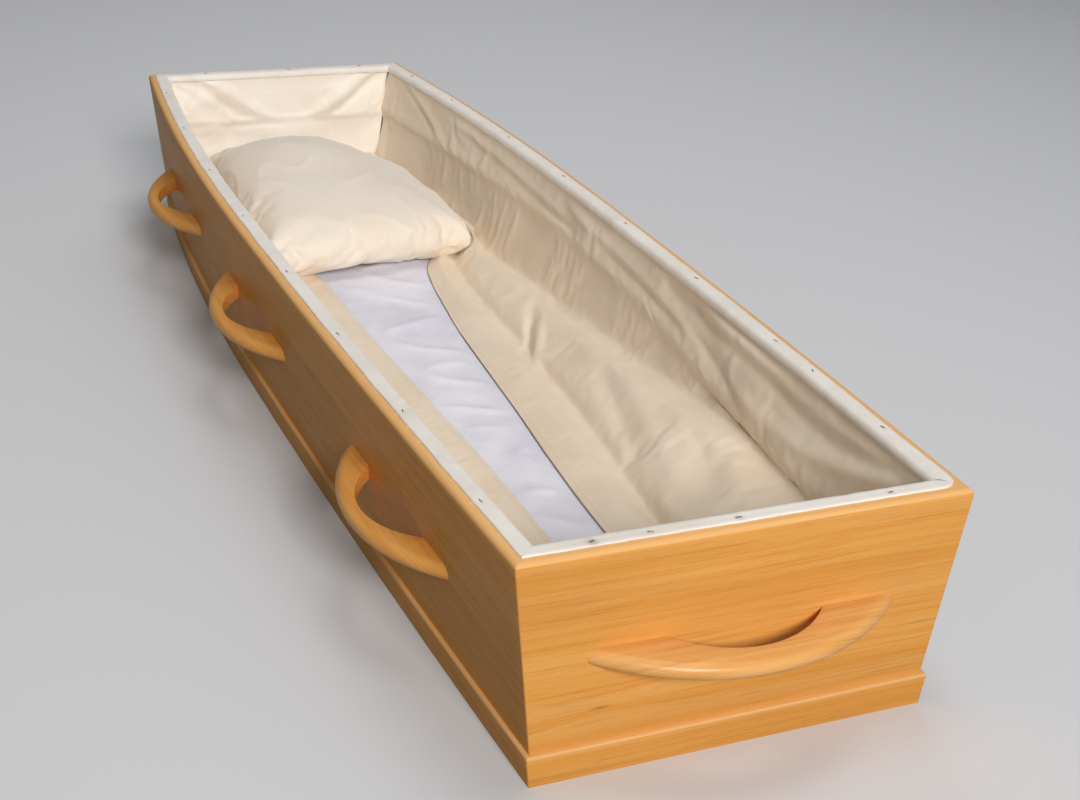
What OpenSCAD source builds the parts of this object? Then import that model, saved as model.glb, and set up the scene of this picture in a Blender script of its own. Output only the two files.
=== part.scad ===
// Open coffin: bow-sided, with leaning panels, a plinth moulding, crescent handles and a soft lining.
// Frame: X across, head end at +Y, foot end at -Y, +Z up, origin under the middle of the base.

/* [Body] */
// Length over the rim
length = 2000; // [1700:10:2300]
// Width over the rim at its widest
widest_w = 620; // [560:5:720]
// Width over the rim at the foot end
foot_w = 570; // [480:5:600]
// Width over the rim at the head end
head_w = 520; // [460:5:600]
// Distance from the foot end to the widest place, as a share of the length
widest_share = 0.58; // [0.45:0.01:0.7]
// Height from the underside to the rim
height = 285; // [240:5:340]
// How far each side panel leans out over its whole height
side_lean = 36; // [0:1:50]
// How far each end panel leans out over its whole height
end_lean = 5; // [0:1:30]
// Thickness of the side and end panels
board_t = 22; // [16:1:28]
// Radius of the eased outer edge of the rim
edge_r = 8; // [3:1:12]
// Thickness of the base board
base_t = 18; // [12:1:24]

/* [Plinth] */
// Height of the plinth moulding
plinth_h = 40; // [25:1:60]
// How far the moulding stands out from the panels
plinth_out = 6; // [4:0.5:10]
// Width and height of the bevel along its top edge
plinth_bevel = 3; // [1:0.5:3.5]

/* [Handles] */
// Height of a handle's upper face where it meets the panel
handle_z = 164; // [120:1:190]
// Thickness of a handle
handle_t = 22; // [16:1:28]
// Angle of a handle below the level
handle_tilt = 5; // [0:1:20]
// Length of a side handle along the panel
side_handle_l = 350; // [280:5:420]
// How far a side handle stands out
side_handle_out = 63; // [55:1:80]
// Length of an end handle along the panel
end_handle_l = 390; // [300:5:400]
// How far an end handle stands out
end_handle_out = 76; // [60:1:90]
// Length of the hand gap behind a handle
grip_l = 196; // [150:2:220]
// Depth of the hand gap behind a handle
grip_deep = 44; // [36:1:50]
// Distance from the foot end to the first side handle
handle_foot_y = 385; // [300:5:450]
// Distance from the foot end to the middle side handle, as a share of the length
handle_mid_share = 0.52; // [0.45:0.01:0.55]
// Distance from the head end to the last side handle
handle_head_gap = 400; // [300:5:450]

/* [Lining] */
// Bare wood left on the rim outside the cloth strip
strip_inset = 13; // [9:1:15]
// Width of the cloth strip along the rim
strip_w = 24; // [18:1:30]
// Thickness of the cloth strip on the rim
strip_t = 2; // [1:0.5:3]
// How far the rolled edge of the strip hangs inside the rim
roll_drop = 12; // [8:1:20]
// Depth of the padded cloth on the inner walls
lining_t = 10; // [6:1:14]
// Thickness of the cloth flaps and the sheet
cloth_t = 2; // [1:0.5:3]
// Width of the flap that lies over the sheet on the right
right_flap_w = 210; // [120:5:240]
// Width of the flap that lies over the sheet on the left
left_flap_w = 180; // [50:5:200]

/* [Bedding] */
// Thickness of the mattress
mattress_t = 50; // [30:1:80]
// Rounding of the mattress along its top edge
mattress_r = 10; // [4:1:15]
// Width of the pillow
pillow_w = 420; // [340:5:430]
// Length of the pillow
pillow_l = 570; // [400:5:600]
// Height of the pillow at its crown
pillow_h = 128; // [80:1:140]

/* [Hidden] */

bays = 36;              // straight stretches along each bowed side
round_steps = 5;        // steps round the eased rim edge
fit_gap = 0.3;          // soft pieces stay this clear of curved neighbours
bed_gap = 0.9;          // mattress to lining
flap_bite = 4;          // how deep a flap runs into its own wall lining
pillow_head_gap = 12;   // pillow to the head lining
cut_past = 1;           // how far a cut runs past the faces it leaves
wall_cut = 3 * board_t; // depth of the space cut away behind a panel's face
pillow_corner = 4;      // squareness of the pillow's outline
pillow_points = 32;     // points round the pillow
pillow_levels = 8;      // steps from the pillow's underside to its crown
pillow_flat = 12;       // angle that sets how wide the pillow's underside and crown are

half_widest = widest_w / 2;
widest_y = length * widest_share;
handle_mid_y = length * handle_mid_share;
handle_head_y = length - handle_head_gap;
foot_drop = half_widest - foot_w / 2;
head_drop = half_widest - head_w / 2;
lining_in = board_t + lining_t;
mattress_top = base_t + mattress_t;
sheet_top = mattress_top + cloth_t;
strip_end = strip_inset + strip_w;
roll_r = (strip_end - board_t) / 3;
arc_step = 1 - sin(45);
lining_top = height - roll_drop - fit_gap;

wood = [0.88, 0.64, 0.36];
grip_wood = [0.86, 0.58, 0.30];
cream = [0.88, 0.81, 0.71];
white_cloth = [0.94, 0.92, 0.89];
white_sheet = [0.84, 0.84, 0.90];

// Depth of a circular arc of the given rise over reach, at distance s from its top.
function arc_drop(s, reach, rise) =
    rise <= 0 ? 0 :
    let (r = (reach * reach + rise * rise) / (2 * rise)) r - sqrt(r * r - s * s);

// Half width of the rim at distance y from the foot end: two arcs that meet at the widest place.
function half_w(y) =
    y < widest_y
        ? half_widest - arc_drop(widest_y - y, widest_y, foot_drop)
        : half_widest - arc_drop(y - widest_y, length - widest_y, head_drop);

// How far the panels have come in at height z.
function side_in(z) = side_lean * (height - z) / height;
function end_in(z) = end_lean * (height - z) / height;

// Point i of the bays along one side at height z: inset d from the side's outer face, and
// starting e0 from the foot's outer face and stopping e1 from the head's.
function side_point(i, d, z, e0, e1, side) =
    let (y0 = end_in(z) + e0,
         y1 = length - end_in(z) - e1,
         y = y0 + (y1 - y0) * i / bays)
    [side * (half_w(y) - side_in(z) - d), y - length / 2, z];

// Point at one side (-1 left, 1 right) of an end piece at height z: inset e from the end's
// outer face and d from the side's.
function end_point(side, e, z, d, end) =
    let (y = end < 0 ? end_in(z) + e : length - end_in(z) - e)
    [side * (half_w(y) - side_in(z) - d), y - length / 2, z];

// Triangles that join rings of m points each into a skin, without its two caps.
function skin_sides(rings, m) =
    [for (i = [0:rings - 2]) for (j = [0:m - 1])
     let (a = i * m + j, b = i * m + (j + 1) % m, c = a + m, d = b + m)
     each [[a, b, d], [a, d, c]]];

function turned(faces) = [for (f = faces) [for (k = [len(f) - 1:-1:0]) f[k]]];

// A bar's skin, with both caps fanned from the profile's first point.
function bar_faces(rings, m) =
    let (last = (rings - 1) * m)
    concat(skin_sides(rings, m),
           [for (j = [1:m - 2]) each [[0, j + 1, j], [last, last + j, last + j + 1]]]);

// A stack of level rings, with flat caps below and above.
module stack(rings) {
    m = len(rings[0]);
    last = (len(rings) - 1) * m;
    polyhedron([for (r = rings) each r],
               concat(turned(skin_sides(len(rings), m)),
                      [[for (j = [0:m - 1]) j], [for (j = [m - 1:-1:0]) last + j]]));
}

// A bar along one side. The profile lists [inset, height]; its ends are mitred at the corners,
// or stand square at the end insets e0 and e1.
module side_bar(profile, side, e0 = -1, e1 = -1) {
    m = len(profile);
    pts = [for (i = [0:bays]) for (p = profile)
           side_point(i, p[0], p[1], e0 < 0 ? p[0] : e0, e1 < 0 ? p[0] : e1, side)];
    faces = bar_faces(bays + 1, m);
    polyhedron(pts, side < 0 ? turned(faces) : faces);
}

// A bar across one end, mitred at the corners, or with its ends inset by d0 from the sides.
module end_bar(profile, end, d0 = -1) {
    m = len(profile);
    pts = [for (side = [-1, 1]) for (p = profile)
           end_point(side, p[0], p[1], d0 < 0 ? p[0] : d0, end)];
    faces = bar_faces(2, m);
    polyhedron(pts, end > 0 ? turned(faces) : faces);
}

// A slab that fills the outline between the walls. Its levels list [height, inset].
module slab(levels) {
    stack([for (l = levels) concat(
        [for (i = [0:bays]) side_point(i, l[1], l[0], l[1], l[1], 1)],
        [for (i = [bays:-1:0]) side_point(i, l[1], l[0], l[1], l[1], -1)])]);
}

// Board section: outer face, eased rim edge, inner face with a step line at the base board.
panel_profile = concat(
    [[0, 0], [0, plinth_h]],
    [for (k = [0:round_steps]) let (a = 90 * k / round_steps)
     [edge_r * (1 - cos(a)), height - edge_r + edge_r * sin(a)]],
    [[board_t, height], [board_t, base_t], [board_t, 0]]);

plinth_profile = [
    [0, 0], [-plinth_out, 0], [-plinth_out, plinth_h - plinth_bevel],
    [-plinth_out + plinth_bevel, plinth_h], [0, plinth_h]
];

// Cloth strip: flat on the rim, then rolled over the inner edge of the board.
strip_profile = [
    [strip_inset, height], [strip_inset, height + strip_t],
    [strip_end - roll_r, height + strip_t], [strip_end, height - roll_r],
    [strip_end, height - roll_drop + roll_r], [strip_end - roll_r, height - roll_drop],
    [board_t, height - roll_drop], [board_t, height]
];

wall_profile = [
    [board_t + fit_gap, sheet_top], [board_t + fit_gap, lining_top],
    [lining_in, lining_top], [lining_in, sheet_top]
];

function flap_profile(flap_w) = [
    [lining_in - flap_bite, sheet_top], [lining_in - flap_bite, sheet_top + cloth_t],
    [lining_in + flap_w, sheet_top + cloth_t], [lining_in + flap_w, sheet_top]
];

module base_board() {
    color(wood) slab([[0, board_t], [base_t, board_t]]);
}

module side_panel(side) {
    color(wood) side_bar(panel_profile, side);
}

module end_panel(end) {
    color(wood) end_bar(panel_profile, end);
}

module side_plinth(side) {
    color(wood) side_bar(plinth_profile, side);
}

module end_plinth(end) {
    color(wood) end_bar(plinth_profile, end);
}

// A crescent grip lying in XY with its back on the X axis: flat plate, half-round outer edge
// and a hand gap. out is how far it stands out from the panel.
module grip(grip_len, out) {
    half = grip_len / 2;
    nose_r = handle_t / 2;
    arc_r = (half * half + out * out) / (2 * out);
    gap_half = grip_l / 2;
    gap_r = (gap_half * gap_half + grip_deep * grip_deep) / (2 * grip_deep);
    difference() {
        translate([0, out - arc_r, 0]) {
            cylinder(r = arc_r - nose_r, h = handle_t, $fn = 180);
            translate([0, 0, nose_r])
                rotate_extrude($fn = 180) translate([arc_r - nose_r, 0]) circle(r = nose_r, $fn = 40);
        }
        translate([0, grip_deep - gap_r, -cut_past])
            cylinder(r = gap_r, h = handle_t + 2 * cut_past, $fn = 120);
        translate([-2 * arc_r, -2 * arc_r - board_t, -cut_past])
            cube([4 * arc_r, 2 * arc_r, handle_t + 2 * cut_past]);
    }
}

// Turn of the bowed side at distance y from the foot end.
function side_turn(y) = atan((half_w(y + 1) - half_w(y - 1)) / 2);

// Stands a shape, drawn with X along the panel and Y outwards, on a side panel at handle height.
module on_side(side, y) {
    mirror([side < 0 ? 1 : 0, 0, 0])
        translate([half_w(y) - side_in(handle_z), y - length / 2, handle_z])
            rotate([0, 0, -90 - side_turn(y)]) children();
}

module on_end(end) {
    mirror([0, end < 0 ? 1 : 0, 0])
        translate([0, length / 2 - end_in(handle_z), handle_z]) children();
}

// The grip, tipped down, with its back still running on into the panel.
module tipped_grip(grip_len, out) {
    rotate([-handle_tilt, 0, 0]) translate([0, 0, -handle_t]) grip(grip_len, out);
}

// The space behind a leaning panel's outer face, from x0 to x1 along it.
module behind_panel(lean, x0, x1) {
    rotate([-atan(lean / height), 0, 0])
        translate([x0, -wall_cut, -height]) cube([x1 - x0, wall_cut, 2 * height]);
}

// A bowed panel is met at the middle of each of the handle's two feet.
module side_handle(side, y) {
    foot_mid = (grip_l + side_handle_l) / 4;
    color(grip_wood) difference() {
        on_side(side, y) tipped_grip(side_handle_l, side_handle_out);
        on_side(side, y - foot_mid) behind_panel(side_lean, -foot_mid, side_handle_l);
        on_side(side, y + foot_mid) behind_panel(side_lean, -side_handle_l, foot_mid);
    }
}

module end_handle(end) {
    color(grip_wood) on_end(end) difference() {
        tipped_grip(end_handle_l, end_handle_out);
        behind_panel(end_lean, -end_handle_l, end_handle_l);
    }
}

module side_strip(side) {
    color(white_cloth) side_bar(strip_profile, side);
}

module end_strip(end) {
    color(white_cloth) end_bar(strip_profile, end);
}

module side_lining(side, flap_w) {
    pillow_foot = pillow_l + pillow_head_gap + lining_in;
    color(cream) union() {
        side_bar(wall_profile, side);
        side_bar(flap_profile(flap_w), side, lining_in + fit_gap, pillow_foot + fit_gap);
    }
}

module end_lining(end) {
    color(cream) end_bar(wall_profile, end);
}

module mattress() {
    inset = lining_in + bed_gap;
    color(white_sheet) slab([
        [base_t, inset], [mattress_top - mattress_r, inset],
        [mattress_top - mattress_r * arc_step, inset + mattress_r * arc_step],
        [mattress_top, inset + mattress_r]
    ]);
}

module sheet() {
    inset = lining_in + bed_gap + mattress_r;
    color(white_sheet) slab([[mattress_top, inset], [sheet_top, inset]]);
}

// Plump cushion: a squarish outline that swells from a flat underside to its crown.
function pillow_ring(grow, z) =
    let (y0 = length / 2 - end_in(sheet_top) - lining_in - pillow_head_gap - pillow_l / 2)
    [for (k = [0:pillow_points - 1])
     let (c = cos(360 * k / pillow_points),
          s = sin(360 * k / pillow_points),
          q = pow(pow(abs(c), pillow_corner) + pow(abs(s), pillow_corner), -1 / pillow_corner))
     [grow * pillow_w / 2 * c * q, y0 + grow * pillow_l / 2 * s * q, z]];

module pillow() {
    color(cream) stack([for (k = [0:pillow_levels])
        let (a = 180 * k / pillow_levels,
             swell = sqrt(sin(max(pillow_flat, min(180 - pillow_flat, a)))))
        pillow_ring(swell, sheet_top + pillow_h * (1 - cos(a)) / 2)]);
}

base_board();
side_panel(-1);  // left_panel
side_panel(1);  // right_panel
end_panel(-1);  // foot_panel
end_panel(1);  // head_panel
side_plinth(-1);  // left_plinth
side_plinth(1);  // right_plinth
end_plinth(-1);  // foot_plinth
end_plinth(1);  // head_plinth
side_handle(-1, handle_foot_y);  // handle_left_foot
side_handle(-1, handle_mid_y);  // handle_left_middle
side_handle(-1, handle_head_y);  // handle_left_head
side_handle(1, handle_foot_y);  // handle_right_foot
side_handle(1, handle_mid_y);  // handle_right_middle
side_handle(1, handle_head_y);  // handle_right_head
end_handle(-1);  // handle_foot
end_handle(1);  // handle_head
side_strip(-1);  // left_edge_strip
side_strip(1);  // right_edge_strip
end_strip(-1);  // foot_edge_strip
end_strip(1);  // head_edge_strip
side_lining(-1, left_flap_w);  // left_lining
side_lining(1, right_flap_w);  // right_lining
end_lining(-1);  // foot_lining
end_lining(1);  // head_lining
mattress();
sheet();
pillow();
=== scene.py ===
"""Open coffin: oak-veneered panels with a plinth, crescent handles, a soft lining and a pillow."""

import math

import bmesh
import bpy
import numpy as np
from mathutils import Matrix, Vector, noise


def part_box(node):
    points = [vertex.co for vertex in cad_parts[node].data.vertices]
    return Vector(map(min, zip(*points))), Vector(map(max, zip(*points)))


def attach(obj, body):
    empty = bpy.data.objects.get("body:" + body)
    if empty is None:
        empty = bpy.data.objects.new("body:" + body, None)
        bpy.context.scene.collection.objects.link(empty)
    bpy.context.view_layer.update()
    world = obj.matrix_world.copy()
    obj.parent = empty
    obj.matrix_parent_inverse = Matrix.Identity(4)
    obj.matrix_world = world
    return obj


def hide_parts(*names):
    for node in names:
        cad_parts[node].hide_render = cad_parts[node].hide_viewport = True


bl_info = {
    "name": "Open Coffin",
    "version": (1, 0, 0),
    "blender": (4, 5, 0),
    "location": "View3D > Sidebar > Coffin",
    "description": "Builds an open coffin with its handles, lining and bedding",
    "category": "Add Mesh",
}

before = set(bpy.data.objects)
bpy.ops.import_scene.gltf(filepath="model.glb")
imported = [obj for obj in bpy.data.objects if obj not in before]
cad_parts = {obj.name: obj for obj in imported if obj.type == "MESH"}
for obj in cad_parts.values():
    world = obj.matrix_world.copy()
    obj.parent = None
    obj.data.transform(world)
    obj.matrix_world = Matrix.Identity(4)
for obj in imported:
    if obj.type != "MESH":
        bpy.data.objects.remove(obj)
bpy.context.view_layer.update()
ROOT = "root"
LEFT = -1
RIGHT = 1
FOOT = -1
HEAD = 1
SIDES = {"left": LEFT, "right": RIGHT}
ENDS = {"foot": FOOT, "head": HEAD}
X, Y, Z = range(3)


def size_of(node, axis):
    """Length of a CAD node's box along one axis."""
    low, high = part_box(node)
    return high[axis] - low[axis]


# --- sizes -----------------------------------------------------------------------------------


def metres(label, note, default):
    """A length that the user can set."""
    return bpy.props.FloatProperty(
        name=label, description=note, default=default, min=0.0, unit="LENGTH", precision=4
    )


def paint(label, note, default):
    """A colour that the user can set."""
    return bpy.props.FloatVectorProperty(
        name=label, description=note, default=default, size=3, min=0.0, max=1.0,
        subtype="COLOR",
    )


def screen(red, green, blue):
    """A screen colour, 0 to 255, as the linear colour that shaders take."""
    out = []
    for value in (red, green, blue):
        share = value / 255
        out.append(share / 12.92 if share <= 0.04045 else ((share + 0.055) / 1.055) ** 2.4)
    return tuple(out)


class CoffinSizes(bpy.types.PropertyGroup):
    """Sizes of the body, handles and soft pieces."""

    length: metres("Length", "Length over the rim", 2.0)
    widest_w: metres("Widest", "Width over the rim at the shoulders", 0.62)
    foot_w: metres("Foot width", "Width over the rim at the foot end", 0.57)
    head_w: metres("Head width", "Width over the rim at the head end", 0.52)
    widest_share: bpy.props.FloatProperty(
        name="Widest place", description="Share of the length from the foot to the widest place",
        default=0.58, min=0.4, max=0.8, subtype="FACTOR",
    )
    height: metres("Height", "Height of the rim", size_of("left_panel", 2))
    side_lean: metres("Side lean", "How far a side leans out over its height", 0.036)
    end_lean: metres("End lean", "How far an end leans out over its height", 0.005)
    board_t: metres("Board", "Thickness of the panels", 0.022)
    edge_r: metres("Rim edge", "Radius of the eased rim edge", 0.008)
    arris_r: metres("Corner edge", "Radius of the eased corner edges", 0.0022)
    plinth_h: metres("Plinth height", "Height of the plinth moulding", 0.040)
    plinth_out: metres("Plinth depth", "How far the plinth stands out", 0.006)
    plinth_bevel: metres("Plinth bevel", "Bevel along the plinth's top edge", 0.003)
    handle_z: metres("Handle height", "Height of a handle's upper face", 0.164)
    handle_t: metres("Handle thickness", "Thickness of a handle", 0.022)
    handle_tilt: bpy.props.FloatProperty(
        name="Handle tilt", description="Angle of a handle below the level",
        default=math.radians(5), subtype="ANGLE", unit="ROTATION",
    )
    side_handle_l: metres("Side handle length", "Length of a side handle", 0.350)
    side_handle_out: metres("Side handle depth", "How far a side handle stands out", 0.063)
    end_handle_l: metres("End handle length", "Length of an end handle", 0.390)
    end_handle_out: metres("End handle depth", "How far an end handle stands out", 0.076)
    grip_l: metres("Hand gap length", "Length of the hand gap", 0.196)
    grip_deep: metres("Hand gap depth", "Depth of the hand gap", 0.044)
    strip_inset: metres("Bare rim", "Bare wood outside the cloth strip", 0.013)
    strip_w: metres("Strip width", "Width of the cloth strip on the rim", 0.024)
    mattress_top: metres("Mattress top", "Height of the top of the mattress", 0.068)
    cloth_t: metres("Cloth", "Thickness of the lining cloth", 0.0012)


class CoffinColours(bpy.types.PropertyGroup):
    """Colours of the wood and the cloth."""

    oak: paint("Oak", "Main colour of the veneer", screen(230, 160, 76))
    oak_dark: paint("Oak grain", "Colour of the grain lines", screen(178, 110, 46))
    oak_light: paint("Oak light", "Colour of the lightest streaks", screen(238, 182, 108))
    # The end handles' colour is painted light: paler than the same oak on the side handles, for the
    # light on their tops.
    grip: paint("Handle", "Main colour of the handles", screen(242, 184, 112))
    # The side linings' colour: the same cotton as the ends', made darker and warmer as painted
    # shade.
    cream: paint("Lining", "Colour of the lining cloth", screen(240, 223, 200))
    pillow: paint("Pillow", "Colour of the pillow's cover", screen(237, 227, 213))
    strip: paint("Rim strip", "Colour of the cloth strip on the rim", screen(246, 240, 232))
    sheet: paint("Sheet", "Colour of the sheet", screen(238, 237, 247))


def sizes():
    return bpy.context.scene.coffin_sizes


def colours():
    return bpy.context.scene.coffin_colours


# --- the coffin's own shape ------------------------------------------------------------------


def arc_drop(along, reach, rise):
    """Depth of a circular arc of the given rise over reach, at a distance from its top."""
    radius = (reach * reach + rise * rise) / (2 * rise)
    return radius - np.sqrt(np.maximum(radius * radius - along * along, 0))


def half_w(y):
    """Half width of the rim at y: two arcs that meet at the widest place."""
    s = sizes()
    from_foot = np.clip(np.asarray(y, float) + s.length / 2, 0, s.length)
    widest_y = s.length * s.widest_share
    foot_drop = (s.widest_w - s.foot_w) / 2
    head_drop = (s.widest_w - s.head_w) / 2
    near_foot = arc_drop(np.maximum(widest_y - from_foot, 0), widest_y, foot_drop)
    near_head = arc_drop(np.maximum(from_foot - widest_y, 0), s.length - widest_y, head_drop)
    return s.widest_w / 2 - near_foot - near_head


def side_in(z):
    """How far a side panel has come in at height z."""
    s = sizes()
    return s.side_lean * (s.height - z) / s.height


def end_in(z):
    """How far an end panel has come in at height z."""
    s = sizes()
    return s.end_lean * (s.height - z) / s.height


def blend(low, high, share):
    """The value at a share of the way from low to high."""
    return low + (high - low) * share


def ease(low, high, value):
    """0 below low, 1 above high and a smooth step between."""
    share = np.clip((value - low) / (high - low), 0, 1)
    return share * share * (3 - 2 * share)


# --- modelling helpers -----------------------------------------------------------------------


def fresh():
    """Leaves edit mode and deselects everything."""
    if bpy.context.object and bpy.context.object.mode != "OBJECT":
        bpy.ops.object.mode_set(mode="OBJECT")
    bpy.ops.object.select_all(action="DESELECT")


def only(ob):
    fresh()
    ob.select_set(True)
    bpy.context.view_layer.objects.active = ob


def choose_edges(ob, test):
    """Goes into edit mode with only the edges that pass a test selected."""
    only(ob)
    bpy.ops.object.mode_set(mode="EDIT")
    bpy.ops.mesh.select_mode(type="EDGE")
    bpy.ops.mesh.select_all(action="DESELECT")
    bm = bmesh.from_edit_mesh(ob.data)
    for edge in bm.edges:
        if test(edge):
            edge.select_set(True)
    bm.select_flush_mode()
    bmesh.update_edit_mesh(ob.data)


def cut_edges(ob, axis, least, cuts):
    """Cuts the edges that run further than least along one axis into even stretches."""
    choose_edges(ob, lambda e: abs(e.verts[0].co[axis] - e.verts[1].co[axis]) > least)
    bpy.ops.mesh.subdivide(number_cuts=cuts)
    bpy.ops.object.mode_set(mode="OBJECT")


def tidy_mesh(ob, merge=0.00002):
    """Merges doubles, turns faces outwards and leaves edit mode."""
    only(ob)
    bpy.ops.object.mode_set(mode="EDIT")
    bpy.ops.mesh.select_all(action="SELECT")
    bpy.ops.mesh.remove_doubles(threshold=merge)
    bpy.ops.mesh.normals_make_consistent(inside=False)
    bpy.ops.object.mode_set(mode="OBJECT")


def points_of(ob):
    """A mesh's points as an array."""
    co = np.empty(len(ob.data.vertices) * 3)
    ob.data.vertices.foreach_get("co", co)
    return co.reshape(-1, 3)


def set_points(ob, co):
    """Puts a mesh's points where an array says."""
    ob.data.vertices.foreach_set("co", np.ascontiguousarray(co, dtype=float).ravel())
    ob.data.update()


def normals_of(ob):
    """A mesh's vertex normals as an array."""
    out = np.empty(len(ob.data.vertices) * 3)
    ob.data.vertex_normals.foreach_get("vector", out)
    return out.reshape(-1, 3)


def carried(co, matrix):
    """Points carried to a place by a 4 by 4 matrix."""
    return (np.c_[co, np.ones(len(co))] @ np.array(matrix).T)[:, :3]


def smooth(ob, angle=30):
    """Shades a piece smooth, apart from edges sharper than an angle."""
    only(ob)
    bpy.ops.object.shade_smooth_by_angle(angle=math.radians(angle))


def soften(ob):
    """Shades a piece smooth all over."""
    only(ob)
    bpy.ops.object.shade_smooth()
    return ob


def dress(ob, material, slot_name, *nodes):
    """Gives a finished piece its material and body, and hides the CAD nodes that it stands for. Its
    slot name is not used.
    """
    ob.data.materials.clear()
    ob.data.materials.append(material)
    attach(ob, ROOT)
    if nodes:
        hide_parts(*nodes)
    return ob


def sized_cube(name, size, location=(0, 0, 0)):
    """A cube primitive brought to a size and a place."""
    fresh()
    bpy.ops.mesh.primitive_cube_add(size=1, location=location)
    ob = bpy.context.object
    ob.name = name
    ob.data.name = name
    ob.scale = size
    bpy.ops.object.transform_apply(location=True, rotation=True, scale=True)
    return ob


def long_block(name, depth, height, cuts):
    """A block along Y, its outer face at x = 0, with its long edges cut into even stretches."""
    ob = sized_cube(name, (depth, 1, height), (depth / 2, 0.5, height / 2))
    cut_edges(ob, Y, 0.5, cuts)
    return ob


def ease_long_edge(ob, x, z, radius, steps):
    """Rounds or bevels the long edge of a block that runs through x and z."""

    def on_edge(edge):
        return all(abs(v.co.x - x) < 1e-6 and abs(v.co.z - z) < 1e-6 for v in edge.verts)

    choose_edges(ob, on_edge)
    bpy.ops.mesh.bevel(offset=radius, segments=steps, affect="EDGES", profile=0.5)
    bpy.ops.object.mode_set(mode="OBJECT")


ARRIS_RINGS = 4
ARRIS_STEP = 0.0015


def ring_insets(ring, rings, d_out, d_in, depth_share, radius):
    """Insets of each point from its own face and from the next panel's, at a mitred corner
    whose outer edge is eased, and how far along the straight stretch it is."""
    near = np.minimum(ring, rings - ring)
    step = np.clip(near, 0, ARRIS_RINGS)
    turn = math.pi / 4 * (1 - step / ARRIS_RINGS)
    own_out = d_out + radius * (1 - np.cos(turn))
    other_out = d_out + radius * (1 - np.sin(turn))
    own = blend(own_out, d_in, depth_share)
    other = blend(other_out, d_in + ARRIS_STEP * step, depth_share)
    along = np.clip((ring - ARRIS_RINGS) / (rings - 2 * ARRIS_RINGS), 0, 1)
    return own, other, along


def mitred(ob, d_out, d_in, radius):
    """The heights of a block's points, then their insets and places along it."""
    co = points_of(ob)
    rings = len(np.unique(np.round(co[:, 1], 5))) - 1
    ring = np.round(co[:, 1] * rings)
    share = co[:, 0] / (d_in - d_out)
    return co[:, 2], *ring_insets(ring, rings, d_out, d_in, share, radius)


def bend_to_side(ob, side, d_out, d_in, radius):
    """Bends a block onto one bowed side, with mitred ends."""
    s = sizes()
    z, own, other, along = mitred(ob, d_out, d_in, radius)
    low = -s.length / 2 + end_in(z) + other
    high = s.length / 2 - end_in(z) - other
    y = blend(low, high, along)
    x = half_w(y) - side_in(z) - own
    set_points(ob, np.stack([side * x, y, z], axis=1))


def bend_to_end(ob, end, d_out, d_in, radius):
    """Sets a block across one end, with mitred ends."""
    s = sizes()
    z, own, other, along = mitred(ob, d_out, d_in, radius)
    y = end * (s.length / 2 - end_in(z) - own)
    reach = half_w(y) - side_in(z) - other
    set_points(ob, np.stack([blend(-reach, reach, along), y, z], axis=1))


# --- shader helpers --------------------------------------------------------------------------


class Wire:
    """An output socket that takes part in sums."""

    def __init__(self, finish, socket):
        self.finish = finish
        self.socket = socket

    def __add__(self, other):
        return self.finish.maths("ADD", self, other)

    def __radd__(self, other):
        return self.finish.maths("ADD", other, self)

    def __sub__(self, other):
        return self.finish.maths("SUBTRACT", self, other)

    def __rsub__(self, other):
        return self.finish.maths("SUBTRACT", other, self)

    def __mul__(self, other):
        return self.finish.maths("MULTIPLY", self, other)

    def __rmul__(self, other):
        return self.finish.maths("MULTIPLY", other, self)

    def __truediv__(self, other):
        return self.finish.maths("DIVIDE", self, other)


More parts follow.
